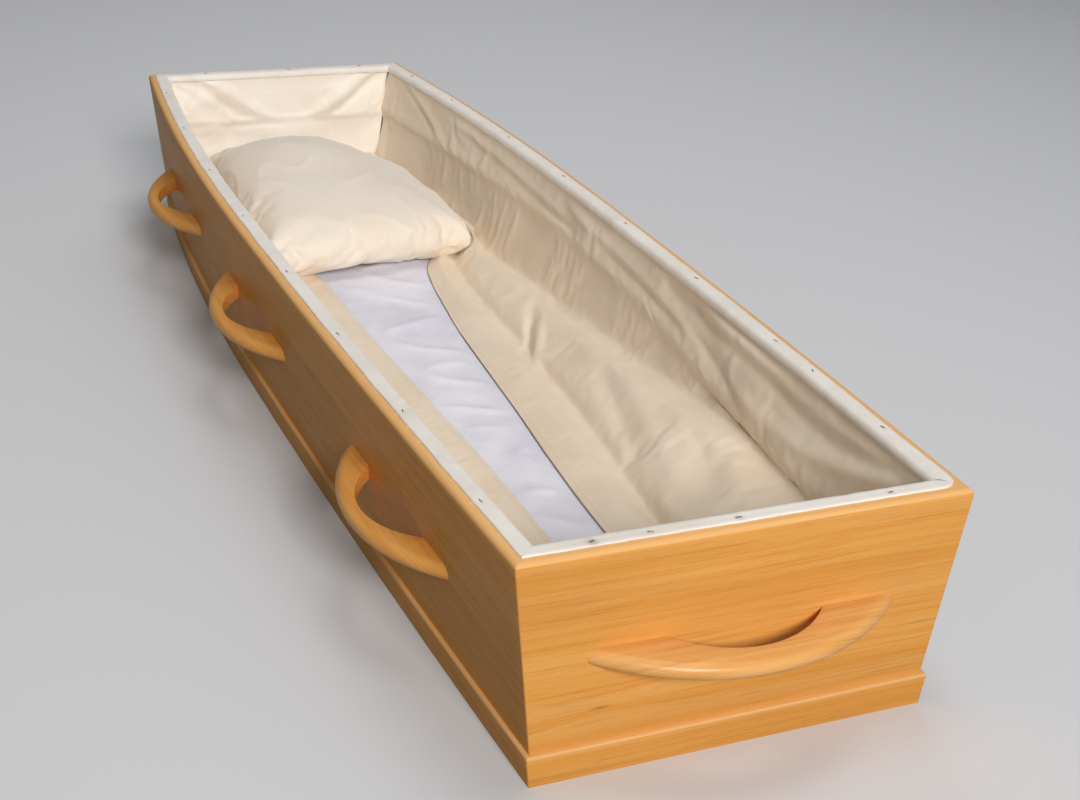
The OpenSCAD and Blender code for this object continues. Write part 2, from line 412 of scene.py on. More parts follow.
class Finish:
    """One material and the nodes that make it."""

    def __init__(self, name, **constants):
        self.material = bpy.data.materials.new(name)
        self.material.use_nodes = True
        self.tree = self.material.node_tree
        self.shader = self.tree.nodes["Principled BSDF"]
        for label, value in constants.items():
            socket = self.shader.inputs[label.replace("_", " ")]
            socket.default_value = value

    def node(self, kind, settings, values, out=0):
        """Adds one node: its settings first, then its sockets' values or links."""
        made = self.tree.nodes.new(kind)
        for label, value in settings.items():
            setattr(made, label, value)
        for key, value in values.items():
            self.feed(made.inputs[key], value)
        return Wire(self, made.outputs[out])

    def maths(self, operation, *values):
        """One Math node and the values that it takes."""
        return self.node("ShaderNodeMath", {"operation": operation}, dict(enumerate(values)))

    def feed(self, socket, value):
        """Gives a socket a link, a colour or a number."""
        if isinstance(value, Wire):
            self.tree.links.new(value.socket, socket)
        elif socket.type == "RGBA":
            socket.default_value = (*value, 1)
        else:
            socket.default_value = value

    def drive(self, label, value):
        """Feeds one socket of the shader."""
        self.feed(self.shader.inputs[label], value)

    def place(self):
        """The piece's own coordinates, as three wires."""
        spot = self.node("ShaderNodeTexCoord", {}, {}, out="Object")
        split = self.tree.nodes.new("ShaderNodeSeparateXYZ")
        self.tree.links.new(spot.socket, split.inputs[0])
        return [Wire(self, split.outputs[i]) for i in range(3)]

    def vector(self, x, y, z):
        return self.node("ShaderNodeCombineXYZ", {}, {0: x, 1: y, 2: z})

    def cloud(self, vector, scale, detail=2.0, rough=0.5, warp=0.0):
        """Noise, about 0 to 1."""
        return self.node(
            "ShaderNodeTexNoise", {"noise_dimensions": "3D"},
            {"Vector": vector, "Scale": scale, "Detail": detail, "Roughness": rough,
             "Distortion": warp},
        )

    def span(self, value, low, high):
        """0 below low, 1 above high and a smooth step between."""
        return self.node(
            "ShaderNodeMapRange", {"interpolation_type": "SMOOTHSTEP"},
            {0: value, 1: low, 2: high},
        )

    def mix(self, share, first, second):
        return self.node(
            "ShaderNodeMix", {"data_type": "RGBA"}, {0: share, 6: first, 7: second}, out=2
        )

    def sine(self, value):
        return self.maths("SINE", value)

    def spot(self, first, second):
        """1 where two distances are both 0, dying away around."""
        return self.maths("EXPONENT", (first * first + second * second) * -1.0)

    def bump(self, height, distance, strength):
        relief = self.node(
            "ShaderNodeBump", {},
            {"Height": height, "Distance": distance, "Strength": strength},
        )
        self.drive("Normal", relief)


# Painted highlight: the paler colour of the top edges of panels and plinths, standing in for the
# light that they catch from above.
EDGE_HIGHLIGHT = screen(250, 208, 150)
RUST_STAIN = screen(120, 78, 48)


def oak(name, grain, base, dark, light, knots=(), seed=0.0, gloss=0.42, edge=None,
        shine=0.06):
    """Lacquered oak veneer: its grain runs along one axis, its knots are (along, across, size)
    and a painted highlight: above the edge height it is paler, for the light on its top edge."""
    f = Finish(name, Coat_Weight=shine * 0.2, Coat_Roughness=0.22, Specular_IOR_Level=shine)
    x, y, z = f.place()
    along = y if grain == "Y" else x
    other = x if grain == "Y" else y
    across = z + other * 0.8 + seed
    for at, level, size in knots:
        da = (along - at) / (size * 9)
        dc = (across - seed - level) / (size * 1.6)
        across = across + f.spot(da, dc) * dc * (size * 1.5)
    slow = f.cloud(f.vector(along * 1.6, across * 7.0, 3.1 + seed), 1.0, 2.0)
    lines = across + (slow - 0.5) * 0.016
    bands = f.cloud(f.vector(along * 0.9, lines * 62.0, seed), 1.0, 3.0, 0.55)
    streaks = f.cloud(f.vector(along * 7.0, lines * 330.0, seed + 5.0), 1.0, 4.0, 0.6)
    pores = f.cloud(f.vector(along * 26.0, lines * 1300.0, seed + 9.0), 1.0, 2.0, 0.5)
    broad = f.cloud(f.vector(along * 1.3, across * 11.0, 7.7 + seed), 1.0, 2.0)
    tone = f.span(bands, 0.34, 0.68)
    fine = f.span(streaks, 0.46, 0.72)
    dash = f.span(pores, 0.62, 0.74)
    colour = f.mix(tone * 0.55, base, light)
    colour = f.mix(f.span(broad, 0.42, 0.72) * 0.20, colour, dark)
    colour = f.mix(fine * 0.34, colour, dark)
    colour = f.mix(dash * 0.30, colour, tuple(c * 0.62 for c in dark))
    for at, level, size in knots:
        da = (along - at) / (size * 1.2)
        dc = (across - seed - level) / (size * 0.35)
        colour = f.mix(f.spot(da, dc) * 0.55, colour, tuple(c * 0.5 for c in dark))
    if edge:
        # Painted highlight: above the edge height the colour is mixed towards a paler one.
        colour = f.mix(f.span(z, edge - 0.0008, edge + 0.0008) * 0.45, colour, EDGE_HIGHLIGHT)
    f.drive("Base Color", colour)
    f.drive("Roughness", fine * 0.08 + dash * 0.10 + gloss)
    f.bump(fine * -0.35 + dash * -1.0 + tone * 0.1, 0.00012, 0.5)
    return f.material


WEAVE_PITCH = 0.0011
WEAVE_RELIEF = 0.00012


def cloth(name, colour, shade, rough, sheen=0.25, creases=0.0, marks=()):
    """Woven cotton: crossing threads, uneven yarn and a little soil in the tone. Marks are
    stains: (place, size, strength)."""
    f = Finish(name, Sheen_Weight=sheen, Sheen_Roughness=0.45, IOR=1.42)
    x, y, z = f.place()
    turn = 2 * math.pi / WEAVE_PITCH
    warp = f.sine(y * turn)
    weft = f.sine((x + z) * turn)
    yarn = f.cloud(f.vector(x * 40.0, y * 900.0, z * 40.0), 1.0, 2.0)
    slub = f.cloud(f.vector(x * 700.0, y * 30.0, z * 700.0), 1.0, 2.0)
    mottle = f.cloud(f.vector(x, y, z), 9.0, 4.0, 0.6)
    tone = f.span(mottle, 0.35, 0.7)
    thick = (yarn + slub) * 0.5
    paintwork = f.mix(tone * 0.5, colour, shade)
    paintwork = f.mix(f.span(thick, 0.5, 0.75) * 0.22, paintwork, shade)
    for at, size, strength in marks:
        dx = (x - at[0]) / size
        dy = (y - at[1]) / size
        paintwork = f.mix(f.spot(dx, dy) * strength, paintwork, RUST_STAIN)
    f.drive("Base Color", paintwork)
    f.drive("Roughness", tone * 0.08 + rough)
    height = warp * weft * 0.5 + thick * 0.8
    if creases:
        fold = f.cloud(f.vector(x, y, z), 26.0, 4.0, 0.55, 0.6)
        height = height + f.span(fold, 0.3, 0.7) * creases
    f.bump(height, WEAVE_RELIEF, 0.6)
    return f.material


# --- wood ------------------------------------------------------------------------------------


BEND_CUTS = {bend_to_side: 112, bend_to_end: 40}


def moulded(name, bend, at, d_out, d_in, height, edge, steps):
    """A length of board: a block with its top edge eased, bent to its place and mitred."""
    ob = long_block(name, d_in - d_out, height, BEND_CUTS[bend])
    ease_long_edge(ob, 0, height, edge, steps)
    bend(ob, at, d_out, d_in, sizes().arris_r)
    tidy_mesh(ob)
    smooth(ob)
    return ob


def panel(name, bend, at):
    """One panel, with its rounded rim edge."""
    s = sizes()
    return moulded(name, bend, at, 0, s.board_t, s.height, s.edge_r, 6)


def plinth(name, bend, at):
    """One length of plinth moulding, with its bevelled top edge."""
    s = sizes()
    return moulded(name, bend, at, -s.plinth_out, 0, s.plinth_h, s.plinth_bevel, 3)


HANDLE_BURIED = 0.009
HANDLE_DEPTH = 0.05
HANDLE_SOFT = 0.0018


def crescent(name, length, out):
    """A handle: a flat crescent with a half-round nose and a hand gap, X along the panel."""
    s = sizes()
    nose = s.handle_t / 2
    nose_r = nose * 0.9999  # a hair less, so that the two bevels stay apart
    ob = long_block(name, HANDLE_DEPTH, s.handle_t, 119)
    for x, radius, steps in ((HANDLE_DEPTH, HANDLE_SOFT, 3), (0, nose_r, 8)):
        ease_long_edge(ob, x, 0, radius, steps)
        ease_long_edge(ob, x, s.handle_t, radius, steps)
    half = length / 2
    radius = (half * half + out * out) / (2 * out)
    gap_half = s.grip_l / 2
    gap_r = (gap_half * gap_half + s.grip_deep * s.grip_deep) / (2 * s.grip_deep)
    reach = math.acos((radius - out - HANDLE_BURIED) / radius)
    co = points_of(ob)
    turn = blend(-reach, reach, co[:, 1])
    n = np.stack([np.sin(turn), np.cos(turn)], axis=1)
    centre = np.array([0.0, out - radius])
    nose_line = centre + radius * n
    inner_x = nose_line[:, 0]
    gap = s.grip_deep - gap_r + np.sqrt(np.maximum(gap_r * gap_r - inner_x * inner_x, 0))
    gap = np.where(np.abs(inner_x) < gap_r, gap, -1)
    inner_line = np.stack([inner_x, np.maximum(gap, -HANDLE_BURIED)], axis=1)
    v = co[:, 0]
    inward = nose_line - inner_line
    inward /= np.maximum(np.linalg.norm(inward, axis=1), 1e-9)[:, None]
    near_nose = nose_line - v[:, None] * n
    near_gap = inner_line + (HANDLE_DEPTH - v)[:, None] * inward
    flat = np.where((v <= nose * 1.001)[:, None], near_nose, near_gap)
    flat[:, 1] = np.maximum(flat[:, 1], -HANDLE_BURIED)
    set_points(ob, np.stack([flat[:, 0], flat[:, 1], co[:, 2] - s.handle_t], axis=1))
    tidy_mesh(ob, 0.00005)
    only(ob)
    ob.matrix_world = Matrix.Rotation(-s.handle_tilt, 4, "X")
    bpy.ops.object.transform_apply(location=True, rotation=True, scale=True)
    return ob


def set_handle(master, name, matrix, flip):
    """A copy of a handle at its place on the coffin."""
    ob = master.copy()
    ob.data = master.data.copy()
    ob.name = name
    ob.data.name = name
    bpy.context.scene.collection.objects.link(ob)
    co = carried(points_of(ob), matrix)
    if flip is not None:
        co[:, flip] *= -1
    set_points(ob, co)
    tidy_mesh(ob)
    smooth(ob, 40)
    return ob


def side_place(y):
    """Where a side handle stands: X along the panel and Y outwards."""
    s = sizes()
    slope = math.atan(float(half_w(y + 0.001) - half_w(y - 0.001)) / 0.002)
    x = float(half_w(y)) - side_in(s.handle_z)
    return Matrix.Translation((x, y, s.handle_z)) @ Matrix.Rotation(
        -math.pi / 2 - slope, 4, "Z"
    )


def end_place():
    """Where the head handle stands; the foot handle is its mirror image."""
    s = sizes()
    return Matrix.Translation((0, s.length / 2 - end_in(s.handle_z), s.handle_z))


# Knots: the place along the grain, the place across it and the size.
LONG_KNOT = (0.62, 0.34, 0.010)
FOOT_KNOT = (-0.172, 0.086 - 0.9975 * 0.8, 0.009)
# Depth below the rim's top where the painted highlight on the panels starts.
HIGHLIGHT_DEPTH = 0.004
HANDLE_GRAIN = screen(166, 104, 46)


class COFFIN_OT_panels(bpy.types.Operator):
    """Panels and plinth mouldings"""

    bl_idname = "coffin.panels"
    bl_label = "Panels and plinth"

    def execute(self, context):
        c = colours()
        s = sizes()
        tones = (c.oak, c.oak_dark, c.oak_light)
        # Heights above which the panels and plinths get their painted highlight.
        rim = s.height - HIGHLIGHT_DEPTH
        ledge = s.plinth_h - s.plinth_bevel
        long_grain = oak("oak_long_grain", "Y", *tones, knots=(LONG_KNOT,), seed=0.4, edge=rim)
        foot_grain = oak("oak_foot", "X", *tones, knots=(FOOT_KNOT,), edge=rim)
        head_grain = oak("oak_head", "X", *tones, seed=2.3, edge=rim)
        long_plinth = oak("oak_plinth_long", "Y", *tones, seed=5.1, edge=ledge)
        end_plinth = oak("oak_plinth_end", "X", *tones, seed=6.7, edge=ledge)
        for words, bend, grains, moulding in (
            (SIDES, bend_to_side, (long_grain, long_grain), long_plinth),
            (ENDS, bend_to_end, (foot_grain, head_grain), end_plinth),
        ):
            for (word, at), grain in zip(words.items(), grains):
                for kind, make, finish in (("panel", panel, grain), ("plinth", plinth, moulding)):
                    node = f"{word}_{kind}"
                    dress(make(f"{node}_oak", bend, at), finish, "board", node)
        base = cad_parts["base_board"]
        base.data.materials.clear()
        base.data.materials.append(long_grain)
        return {"FINISHED"}


class COFFIN_OT_handles(bpy.types.Operator):
    """Crescent handles on the sides and ends"""

    bl_idname = "coffin.handles"
    bl_label = "Handles"

    def execute(self, context):
        s = sizes()
        c = colours()
        side_tones = (c.oak, c.oak_dark, c.oak_light)
        # Painted light: the end handles take the paler grip colour for the light on their tops; the
        # side handles keep the panels' oak.
        end_tones = (c.grip, HANDLE_GRAIN, c.oak)
        side_oak = oak("oak_side_handle", "Y", *side_tones, seed=8.2, gloss=0.36, shine=0.2)
        end_oak = oak("oak_end_handle", "X", *end_tones, seed=9.4, gloss=0.34, shine=0.3)
        side_master = crescent("side_handle_master", s.side_handle_l, s.side_handle_out)
        end_master = crescent("end_handle_master", s.end_handle_l, s.end_handle_out)
        for word, side in SIDES.items():
            for place in ("foot", "middle", "head"):
                node = f"handle_{word}_{place}"
                low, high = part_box(node)
                y = (low.y + high.y) / 2
                flip = X if side == LEFT else None
                ob = set_handle(side_master, f"{node}_oak", side_place(y), flip)
                dress(ob, side_oak, "handle", node)
        for word, end in ENDS.items():
            node = f"handle_{word}"
            flip = Y if end == FOOT else None
            ob = set_handle(end_master, f"{node}_oak", end_place(), flip)
            dress(ob, end_oak, "handle", node)
        for master in (side_master, end_master):
            bpy.data.objects.remove(master)
        return {"FINISHED"}


# --- soft pieces -----------------------------------------------------------------------------


def line(y, stations, values):
    """A smooth run of values along the coffin."""
    out = np.interp(y, stations, values)
    around = [np.interp(y + shift, stations, values) for shift in (-0.05, -0.025, 0.025, 0.05)]
    return (out + sum(around)) / 5


def flow(knots, share):
    """A smooth line through rows of knots (n, m, 2), read at shares of its length."""
    step = np.linalg.norm(np.diff(knots, axis=0), axis=2).mean(axis=1)
    t = np.concatenate([[0], np.cumsum(step)]) / step.sum()
    width = np.diff(t)
    rise = np.diff(knots, axis=0) / width[:, None, None]
    slope = np.empty_like(knots)
    slope[0] = rise[0]
    slope[-1] = rise[-1]
    before, after = width[:-1, None, None], width[1:, None, None]
    slope[1:-1] = (rise[:-1] * after + rise[1:] * before) / (before + after)
    i = np.clip(np.searchsorted(t, share, side="right") - 1, 0, len(t) - 2)
    h = width[i][:, None, None]
    s = ((share - t[i]) / width[i])[:, None, None]
    return (
        (2 * s**3 - 3 * s**2 + 1) * knots[i] + (s**3 - 2 * s**2 + s) * h * slope[i]
        + (3 * s**2 - 2 * s**3) * knots[i + 1] + (s**3 - s**2) * h * slope[i + 1]
    )


def cloth_grid(name, rows, columns):
    """A flat grid to be laid out as cloth; returns it with each vertex's row and column shares."""
    fresh()
    bpy.ops.mesh.primitive_grid_add(
        x_subdivisions=columns, y_subdivisions=rows, size=1, location=(0, 0, 0)
    )
    ob = bpy.context.object
    ob.name = name
    ob.data.name = name
    co = points_of(ob)
    return ob, np.round(co[:, 1] + 0.5, 6), np.round(co[:, 0] + 0.5, 6)


def table_of(x, y, z):
    """Rows of points from coordinates that may stay the same along a row or a column."""
    return np.stack(np.broadcast_arrays(x, y, z), axis=-1)


def lay(ob, down, along, rows_of):
    """Moves a grid's vertices onto rows_of(shares down, shares along): a table of points."""
    downs = np.unique(down)
    alongs = np.unique(along)
    table = rows_of(downs, alongs)
    set_points(ob, table[np.searchsorted(downs, down), np.searchsorted(alongs, along)])


def noise_at(points, scale, seed):
    """Smooth noise, about -1 to 1, at many points."""
    spots = points * np.asarray(scale, float) + seed
    return np.array([noise.noise(spot) for spot in spots.tolist()])


def noise_along(run, scale, seed):
    """Smooth noise that changes along one way only."""
    return noise_at(np.stack([run, 0 * run, 0 * run], 1), (scale, 1, 1), seed)


def strongest(*grips):
    """The largest of several grips at each vertex."""
    return np.maximum.reduce(np.broadcast_arrays(*grips))


def relax(ob, hold, frames, grow, cap, pressure=0.0, bend=0.1, tension=40.0):
    """Lets a piece settle as cloth: hold is each vertex's grip, grow the spare cloth and cap
    the furthest that a point may move."""
    before = points_of(ob)
    group = ob.vertex_groups.new(name="held")
    levels = np.round(np.clip(hold, 0, 1), 2)
    for level in np.unique(levels):
        if level > 0:
            group.add([int(k) for k in np.nonzero(levels == level)[0]], float(level), "REPLACE")
    only(ob)
    soft = ob.modifiers.new("settle", "CLOTH")
    rule = soft.settings
    rule.quality = 6
    rule.mass = 0.3
    rule.tension_stiffness = tension
    rule.compression_stiffness = tension
    rule.shear_stiffness = tension / 4
    rule.bending_stiffness = bend
    rule.tension_damping = 10
    rule.compression_damping = 10
    rule.air_damping = 4
    rule.shrink_min = -grow
    rule.vertex_group_mass = "held"
    rule.pin_stiffness = 1.0
    rule.effector_weights.gravity = 0
    if pressure:
        rule.use_pressure = True
        rule.uniform_pressure_force = pressure
    soft.collision_settings.use_collision = False
    soft.point_cache.frame_start = 1
    soft.point_cache.frame_end = frames
    scene = bpy.context.scene
    for step in range(1, frames + 1):
        scene.frame_set(step)
    graph = bpy.context.evaluated_depsgraph_get()
    settled = ob.evaluated_get(graph)
    after = np.empty(len(before) * 3)
    settled.data.vertices.foreach_get("co", after)
    after = after.reshape(-1, 3)
    ob.modifiers.remove(soft)
    ob.vertex_groups.clear()
    scene.frame_set(1)
    moved = after - before
    far = np.linalg.norm(moved, axis=1)
    keep = np.tanh(far / cap) * cap / np.maximum(far, 1e-9)
    set_points(ob, before + moved * keep[:, None])


def refine(ob):
    """Applies one round of subdivision."""
    only(ob)
    finer = ob.modifiers.new("finer", "SUBSURF")
    finer.levels = 1
    finer.render_levels = 1
    bpy.ops.object.modifier_apply(modifier=finer.name)


def face_towards(ob, point):
    """Turns an open sheet's faces so that most look towards a point."""
    centre = np.array([p.center for p in ob.data.polygons])
    normal = np.array([p.normal for p in ob.data.polygons])
    if ((np.asarray(point) - centre) * normal).sum() < 0:
        ob.data.flip_normals()


# Lines along the side linings. At each SIDE_Y: the height of the band's seam and of the skirt's
# top, and how far the valley and the hem of the flap stand from the middle.
SIDE_Y = (-0.97, -0.73, -0.52, -0.37, -0.165, 0.09, 0.30, 0.40, 0.47, 0.55, 0.97)
BAND_Z = (0.152, 0.151, 0.163, 0.180, 0.201, 0.209, 0.205, 0.201, 0.199, 0.197, 0.192)
SKIRT_Z = (0.134, 0.134, 0.143, 0.136, 0.122, 0.104, 0.090, 0.082, 0.088, 0.092, 0.092)
VALLEY_X = (0.055, 0.074, 0.098, 0.115, 0.133, 0.141, 0.152, 0.170, 0.215, 0.222, 0.222)
HEM_X = (-0.004, 0.001, 0.010, 0.023, 0.040, 0.059, 0.088, 0.114, 0.180, 0.215, 0.215)
LEFT_BAND_Z = (0.188,) * 11
LEFT_SKIRT_Z = (0.100, 0.102, 0.104, 0.104, 0.102, 0.100, 0.096, 0.094, 0.092, 0.092, 0.092)
LEFT_HEM_X = (0.072, 0.070, 0.068, 0.069, 0.077, 0.086, 0.088, 0.090, 0.130, 0.215, 0.215)
# Heights and clearances of the linings.
TOP_Z = 0.2745
SEAT_GAP = 0.0045
END_SEAM_Z = 0.189
END_GAP = 0.0345
END_PUFF = 0.0050
LINING_OFF = 0.0235
HELD_Z = (0.262, 0.272)


def side_knots(side, y):
    """The line that a side lining follows from the rim to its hem, at each y."""
    s = sizes()
    rest = s.mattress_top + SEAT_GAP
    wide = half_w(y)

    def point(x, z):
        return np.stack([x, z + 0 * y], axis=-1)

    def at(inset, z):
        return point(wide - side_in(z) - inset, z)

    right = side == RIGHT
    band = line(y, SIDE_Y, BAND_Z if right else LEFT_BAND_Z)
    skirt = line(y, SIDE_Y, SKIRT_Z if right else LEFT_SKIRT_Z)
    hem = line(y, SIDE_Y, HEM_X if right else LEFT_HEM_X)
    valley = line(y, SIDE_Y, VALLEY_X) if right else hem + 0.045
    limit = wide - side_in(rest) - 0.068
    hem = np.minimum(hem, limit - 0.010)
    valley = np.minimum(valley, limit)
    skirt_x = wide - side_in(skirt) - 0.043
    puff, swell, fold = (0.013, 0.012, 0.021) if right else (0.004, 0.003, 0.004)
    return np.stack([
        at(0.0330, TOP_Z), at(0.0350, 0.2640), at(0.0385, blend(band, TOP_Z, 0.35)),
        at(0.0400, band + 0.002), at(0.0352, band - 0.006), at(0.0350, blend(band, skirt, 0.55)),
        at(0.0420, skirt),
        point(blend(valley, skirt_x, 0.55), blend(rest + fold, skirt, 0.45) + puff),
        point(valley + 0.030, rest + fold + 0.008), point(valley + 0.008, rest + fold * 0.6),
        point(valley, rest + 0.0005), point(blend(hem, valley, 0.5), rest + swell),
        point(hem + 0.007, rest + 0.002), point(hem, rest - 0.001),
        point(hem + 0.004, rest - 0.0035),
    ])


def side_rows(side):
    """The rows of a side lining, from the rim down to its hem."""

    def rows(down, along):
        far = sizes().length / 2 - 0.0365
        knots = side_knots(side, blend(-far, far, along))
        x, z = np.moveaxis(flow(knots, down), -1, 0)
        return table_of(side * x, blend(end_in(z) - far, far - end_in(z), along), z)

    return rows


def clear_of_hard(co, side=None, end=None):
    """Keeps cloth off the wood behind it and off the mattress below it."""
    s = sizes()
    co = co.copy()
    z = co[:, 2]
    if side is not None:
        most = half_w(co[:, 1]) - side_in(z) - LINING_OFF
        co[:, 0] = side * np.minimum(side * co[:, 0], most)
    if end is not None:
        most = s.length / 2 - end_in(z) - LINING_OFF
        co[:, 1] = end * np.minimum(end * co[:, 1], most)
    floor = s.mattress_top + (0.0042 if side is not None else 0.0008)
    co[:, 2] = np.maximum(z, floor)
    return co


def crumple(co, normal, seed, amount):
    """Fine creases that run aslant along the cloth."""
    slant = np.stack([co[:, 0], co[:, 1] * 0.55 + co[:, 2] * 0.5, co[:, 2] - co[:, 1] * 0.18], 1)
    broad = noise_at(slant, (9, 7, 22), seed)
    fine = noise_at(slant, (24, 16, 52), seed + 4.0)
    ridge = np.maximum(1 - np.abs(noise_at(slant, (12, 9, 30), seed + 9.0)) * 3, 0) ** 2
    return co + normal * (amount * (0.55 * broad + 0.22 * fine + 0.5 * ridge))[:, None]


def puckered(co, level, run, seed, above, below, depth):
    """Ripples across a gathered seam at a given level, dying away above and below it."""
    off = co[:, 2] - level
    near = np.exp(-np.maximum(off, 0) / above - np.maximum(-off, 0) / below)
    slant = run - 2.4 * off
    beat = noise_along(slant, 38, seed) + 0.6 * noise_along(slant, 76, seed + 5)
    patch = 0.55 + 0.9 * noise_along(slant, 7, seed + 11)
    return depth * near * beat * np.clip(patch, 0.15, 1.4)


def fanned(dx, dz, reach, folds, phase):
    """Folds that spread out from the place where a cloth is pinned."""
    radius = np.hypot(dx, dz)
    angle = np.arctan2(dz, dx)
    wave = np.sin(angle * folds + phase + 1.6 * np.sin(angle * 3.0 + phase))
    return wave * np.exp(-radius / reach) * ease(0.004, 0.030, radius)


# Each fold: the y of its points, their z (wall) or x (skirt), its half width and its height.
WALL_FOLDS = (
    ((0.93, 0.86, 0.783, 0.703), (0.273, 0.262, 0.240, 0.206), 0.008, -0.0050),
    ((0.90, 0.83, 0.75, 0.67), (0.273, 0.260, 0.240, 0.208), 0.010, 0.0045),
    ((0.90, 0.30, -0.15, -0.55, -0.93), (0.268, 0.2655, 0.2665, 0.268, 0.268), 0.0035, -0.0025),
    ((0.66, 0.45, 0.30, 0.10), (0.258, 0.250, 0.243, 0.236), 0.008, 0.0040),
    ((0.60, 0.40, 0.22, 0.05), (0.246, 0.238, 0.229, 0.222), 0.006, -0.0035),
    ((0.14, -0.05, -0.20, -0.32, -0.40), (0.254, 0.246, 0.236, 0.222, 0.206), 0.010, 0.0050),
    ((-0.02, -0.18, -0.30, -0.38), (0.236, 0.228, 0.218, 0.204), 0.006, -0.0035),
    ((-0.22, -0.40, -0.49, -0.60, -0.70, -0.81, -0.93),
     (0.256, 0.246, 0.245, 0.239, 0.230, 0.237, 0.266), 0.009, -0.0070),
    ((-0.36, -0.52, -0.64, -0.745, -0.86), (0.260, 0.257, 0.252, 0.248, 0.260), 0.007, 0.0035),
    ((-0.34, -0.42, -0.50, -0.55), (0.222, 0.207, 0.198, 0.172), 0.006, -0.0045),
    ((-0.48, -0.55, -0.64, -0.72, -0.83, -0.92),
     (0.208, 0.192, 0.190, 0.197, 0.224, 0.258), 0.013, 0.0085),
)
SKIRT_FOLDS = (
    ((0.10, -0.05, -0.19, -0.28, -0.37), (0.222, 0.224, 0.227, 0.244, 0.262), 0.010, -0.0050),
    ((0.02, -0.11, -0.24, -0.41, -0.57), (0.199, 0.196, 0.194, 0.204, 0.216), 0.016, 0.0080),
    ((0.16, 0.10, 0.01, -0.08), (0.238, 0.209, 0.161, 0.110), 0.009, -0.0060),
    ((0.11, 0.05, -0.04, -0.13), (0.232, 0.203, 0.157, 0.114), 0.010, 0.0060),
    ((-0.20, -0.30, -0.42, -0.52), (0.188, 0.162, 0.136, 0.112), 0.013, -0.0040),
    ((-0.27, -0.38, -0.50, -0.62), (0.196, 0.172, 0.150, 0.122), 0.016, 0.0050),
    ((-0.54, -0.62, -0.74, -0.88), (0.222, 0.196, 0.164, 0.128), 0.022, 0.0060),
    ((-0.44, -0.50, -0.58, -0.66), (0.214, 0.196, 0.176, 0.160), 0.009, -0.0030),
    ((0.42, 0.36, 0.28, 0.20), (0.236, 0.212, 0.184, 0.160), 0.008, -0.0045),
)


# The soft triangles that hang from the corners of an end: z, x, half width and height.
CORNER_FOLDS = (
    ((0.277, 0.247, 0.208, 0.192), (-0.205, -0.156, -0.082, -0.050), 0.013, -0.0050),
    ((0.277, 0.250, 0.215, 0.192), (-0.185, -0.120, -0.040, 0.000), 0.020, 0.0070),
    ((0.277, 0.236, 0.201, 0.192), (0.235, 0.167, 0.103, 0.085), 0.013, -0.0050),
    ((0.277, 0.240, 0.205, 0.192), (0.212, 0.138, 0.066, 0.040), 0.020, 0.0070),
    ((0.277, 0.237, 0.205), (0.238, 0.226, 0.216), 0.007, -0.0040),
    ((0.277, 0.237, 0.205), (-0.236, -0.222, -0.206), 0.007, -0.0030),
)


def folds_on(y, v, table, end=0.07):
    """The height of a set of folds, each a soft ridge or valley along its line."""
    lift = np.zeros(len(y))
    for ys, vs, width, height in table:
        order = np.argsort(ys)
        ys, vs = np.array(ys)[order], np.array(vs)[order]
        off = (v - line(y, ys, vs)) / width
        first, last = ys[0] - 0.4 * end, ys[-1] + 0.4 * end
        taper = ease(first, ys[0] + end, y) * ease(last, ys[-1] - end, y)
        lift += height * np.exp(-off * off) * taper
    return lift


SWAGS = 9


def draped(ob, side, level):
    """The deep folds of a side lining: swags from nine pins, the wall's folds and the skirt's."""
    co = points_of(ob)
    normal = normals_of(ob)
    y, z = co[:, 1], co[:, 2]
    lift = np.zeros(len(co))
    upper = ease(-0.010, 0.006, z - level)
    for k in range(SWAGS):
        pin = -0.93 + 0.232 * k + 0.03 * math.sin(5.1 * k + side)
        lift += 0.0005 * fanned(y - pin, TOP_Z + 0.004 - z, 0.050, 7, 1.7 * k) * upper
    long_fold = np.stack([y * 0.16 + 1.1 * (z - level), z, 0 * y], 1)
    slack = noise_at(long_fold, (13, 16, 1), 40.0 + side)
    calm = 0.0018 if side == RIGHT else 0.0036
    lift += calm * slack * upper * ease(TOP_Z, TOP_Z - 0.020, z)
    skirt = line(y, SIDE_Y, SKIRT_Z if side == RIGHT else LEFT_SKIRT_Z)
    lower = ease(0.012, -0.020, z - skirt) * ease(0.0715, 0.080, z + 0.006)
    turn = np.stack([co[:, 0] * side + 0.30 * y + 0.5 * z, y * 0.26, 0 * y], 1)
    roll = noise_at(turn, (9, 9, 1), 35.0 + side)
    lift += (0.0028 if side == RIGHT else 0.0020) * lower * roll
    if side == RIGHT:
        lift += folds_on(y, z, WALL_FOLDS) * ease(-0.028, -0.012, z - level)
        lift += folds_on(y, co[:, 0], SKIRT_FOLDS) * lower
    return co + normal * lift[:, None]


